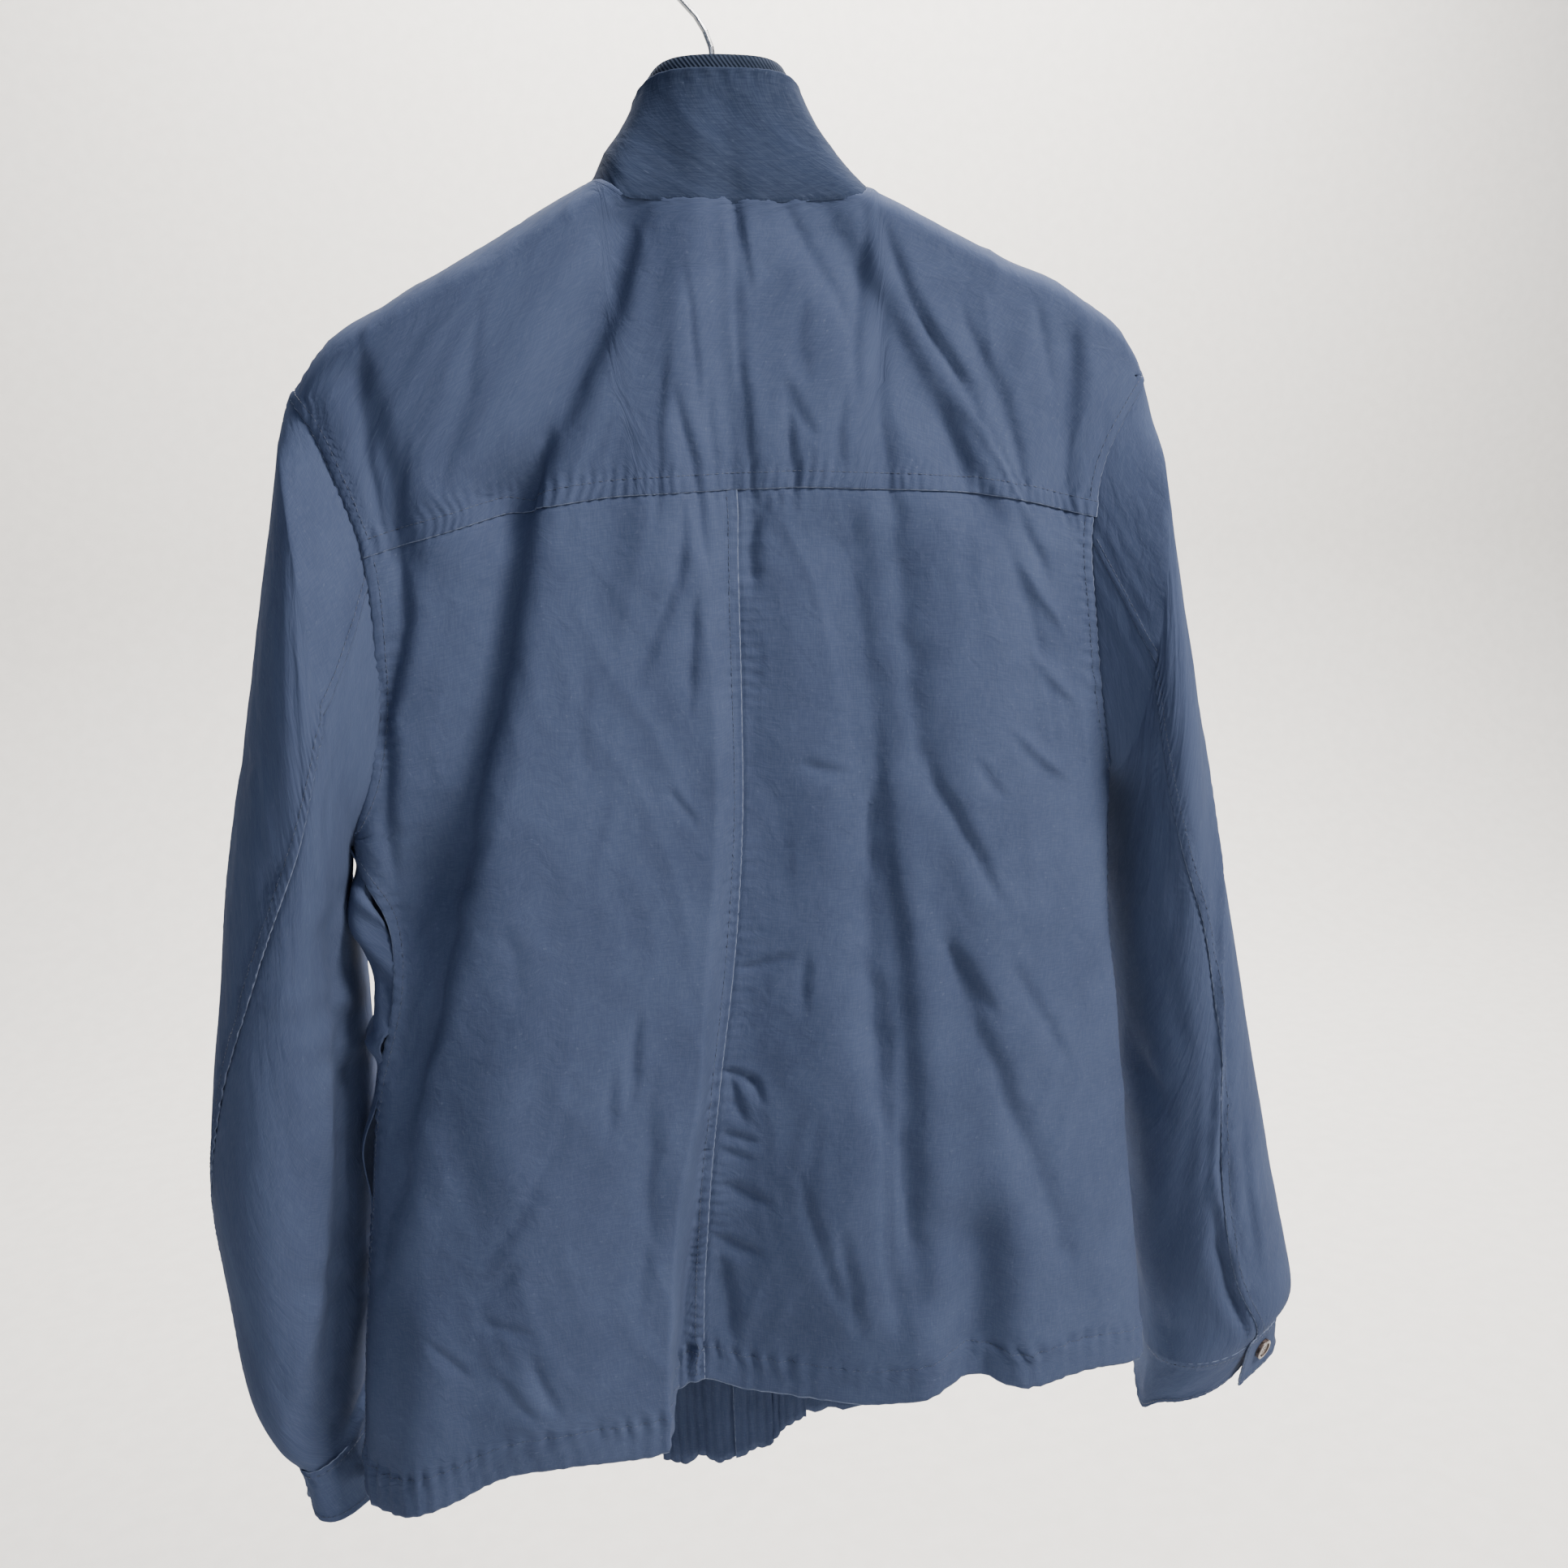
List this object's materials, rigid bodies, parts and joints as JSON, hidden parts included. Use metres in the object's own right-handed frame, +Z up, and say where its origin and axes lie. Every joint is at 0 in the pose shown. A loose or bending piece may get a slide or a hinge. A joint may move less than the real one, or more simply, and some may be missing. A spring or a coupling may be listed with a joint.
{
  "type": "harrington jacket on a hanger",
  "caption": "Waist-length cotton jacket with a back yoke, standing collar, two-piece sleeves with buttoned cuffs and a zipped front, hung on a wooden hanger.",
  "frame": {"origin": "the point of the hook that rests on a rail", "axes": "+Z up, +X to the wearer's left, +Y behind the wearer's back"},
  "size_m": [0.7088, 0.1632, 0.9517],
  "materials": {
    "cloth": "washed navy cotton twill, matt",
    "corduroy": "dark fine-wale corduroy, matt",
    "horn": "brown horn-effect, satin",
    "zip_tape": "woven tape, matt",
    "brass": "brushed",
    "wood": "varnished",
    "steel": "plated wire"
  },
  "bodies": {
    "jacket": {"back_yoke": "cloth", "back_left": "cloth", "back_right": "cloth", "front_left": "cloth", "front_right": "cloth", "front_facing_left": "cloth", "front_facing_right": "cloth", "collar_outer": "cloth", "sleeve_top_left": "cloth", "sleeve_top_right": "cloth", "sleeve_under_left": "cloth", "sleeve_under_right": "cloth", "cuff_left": "cloth", "cuff_right": "cloth", "collar_facing": "corduroy", "cuff_button_left": "horn", "cuff_button_right": "horn", "zip_tape_left": "zip_tape", "zip_tape_right": "zip_tape", "zip_chain": "brass", "zip_slider": "brass", "zip_box": "brass", "hanger_bar": "wood", "hanger_hook": "steel"},
    "pull_tab": {"zip_pull": "brass"}
  },
  "joints": [
    {"name": "pull_tab_hinge", "type": "hinge", "parent": "jacket", "child": "pull_tab", "pos_m": [-0.0059, -0.0428, -0.2262], "axis": [-1, 0, 0], "range_deg": [0, 110]}
  ]
}
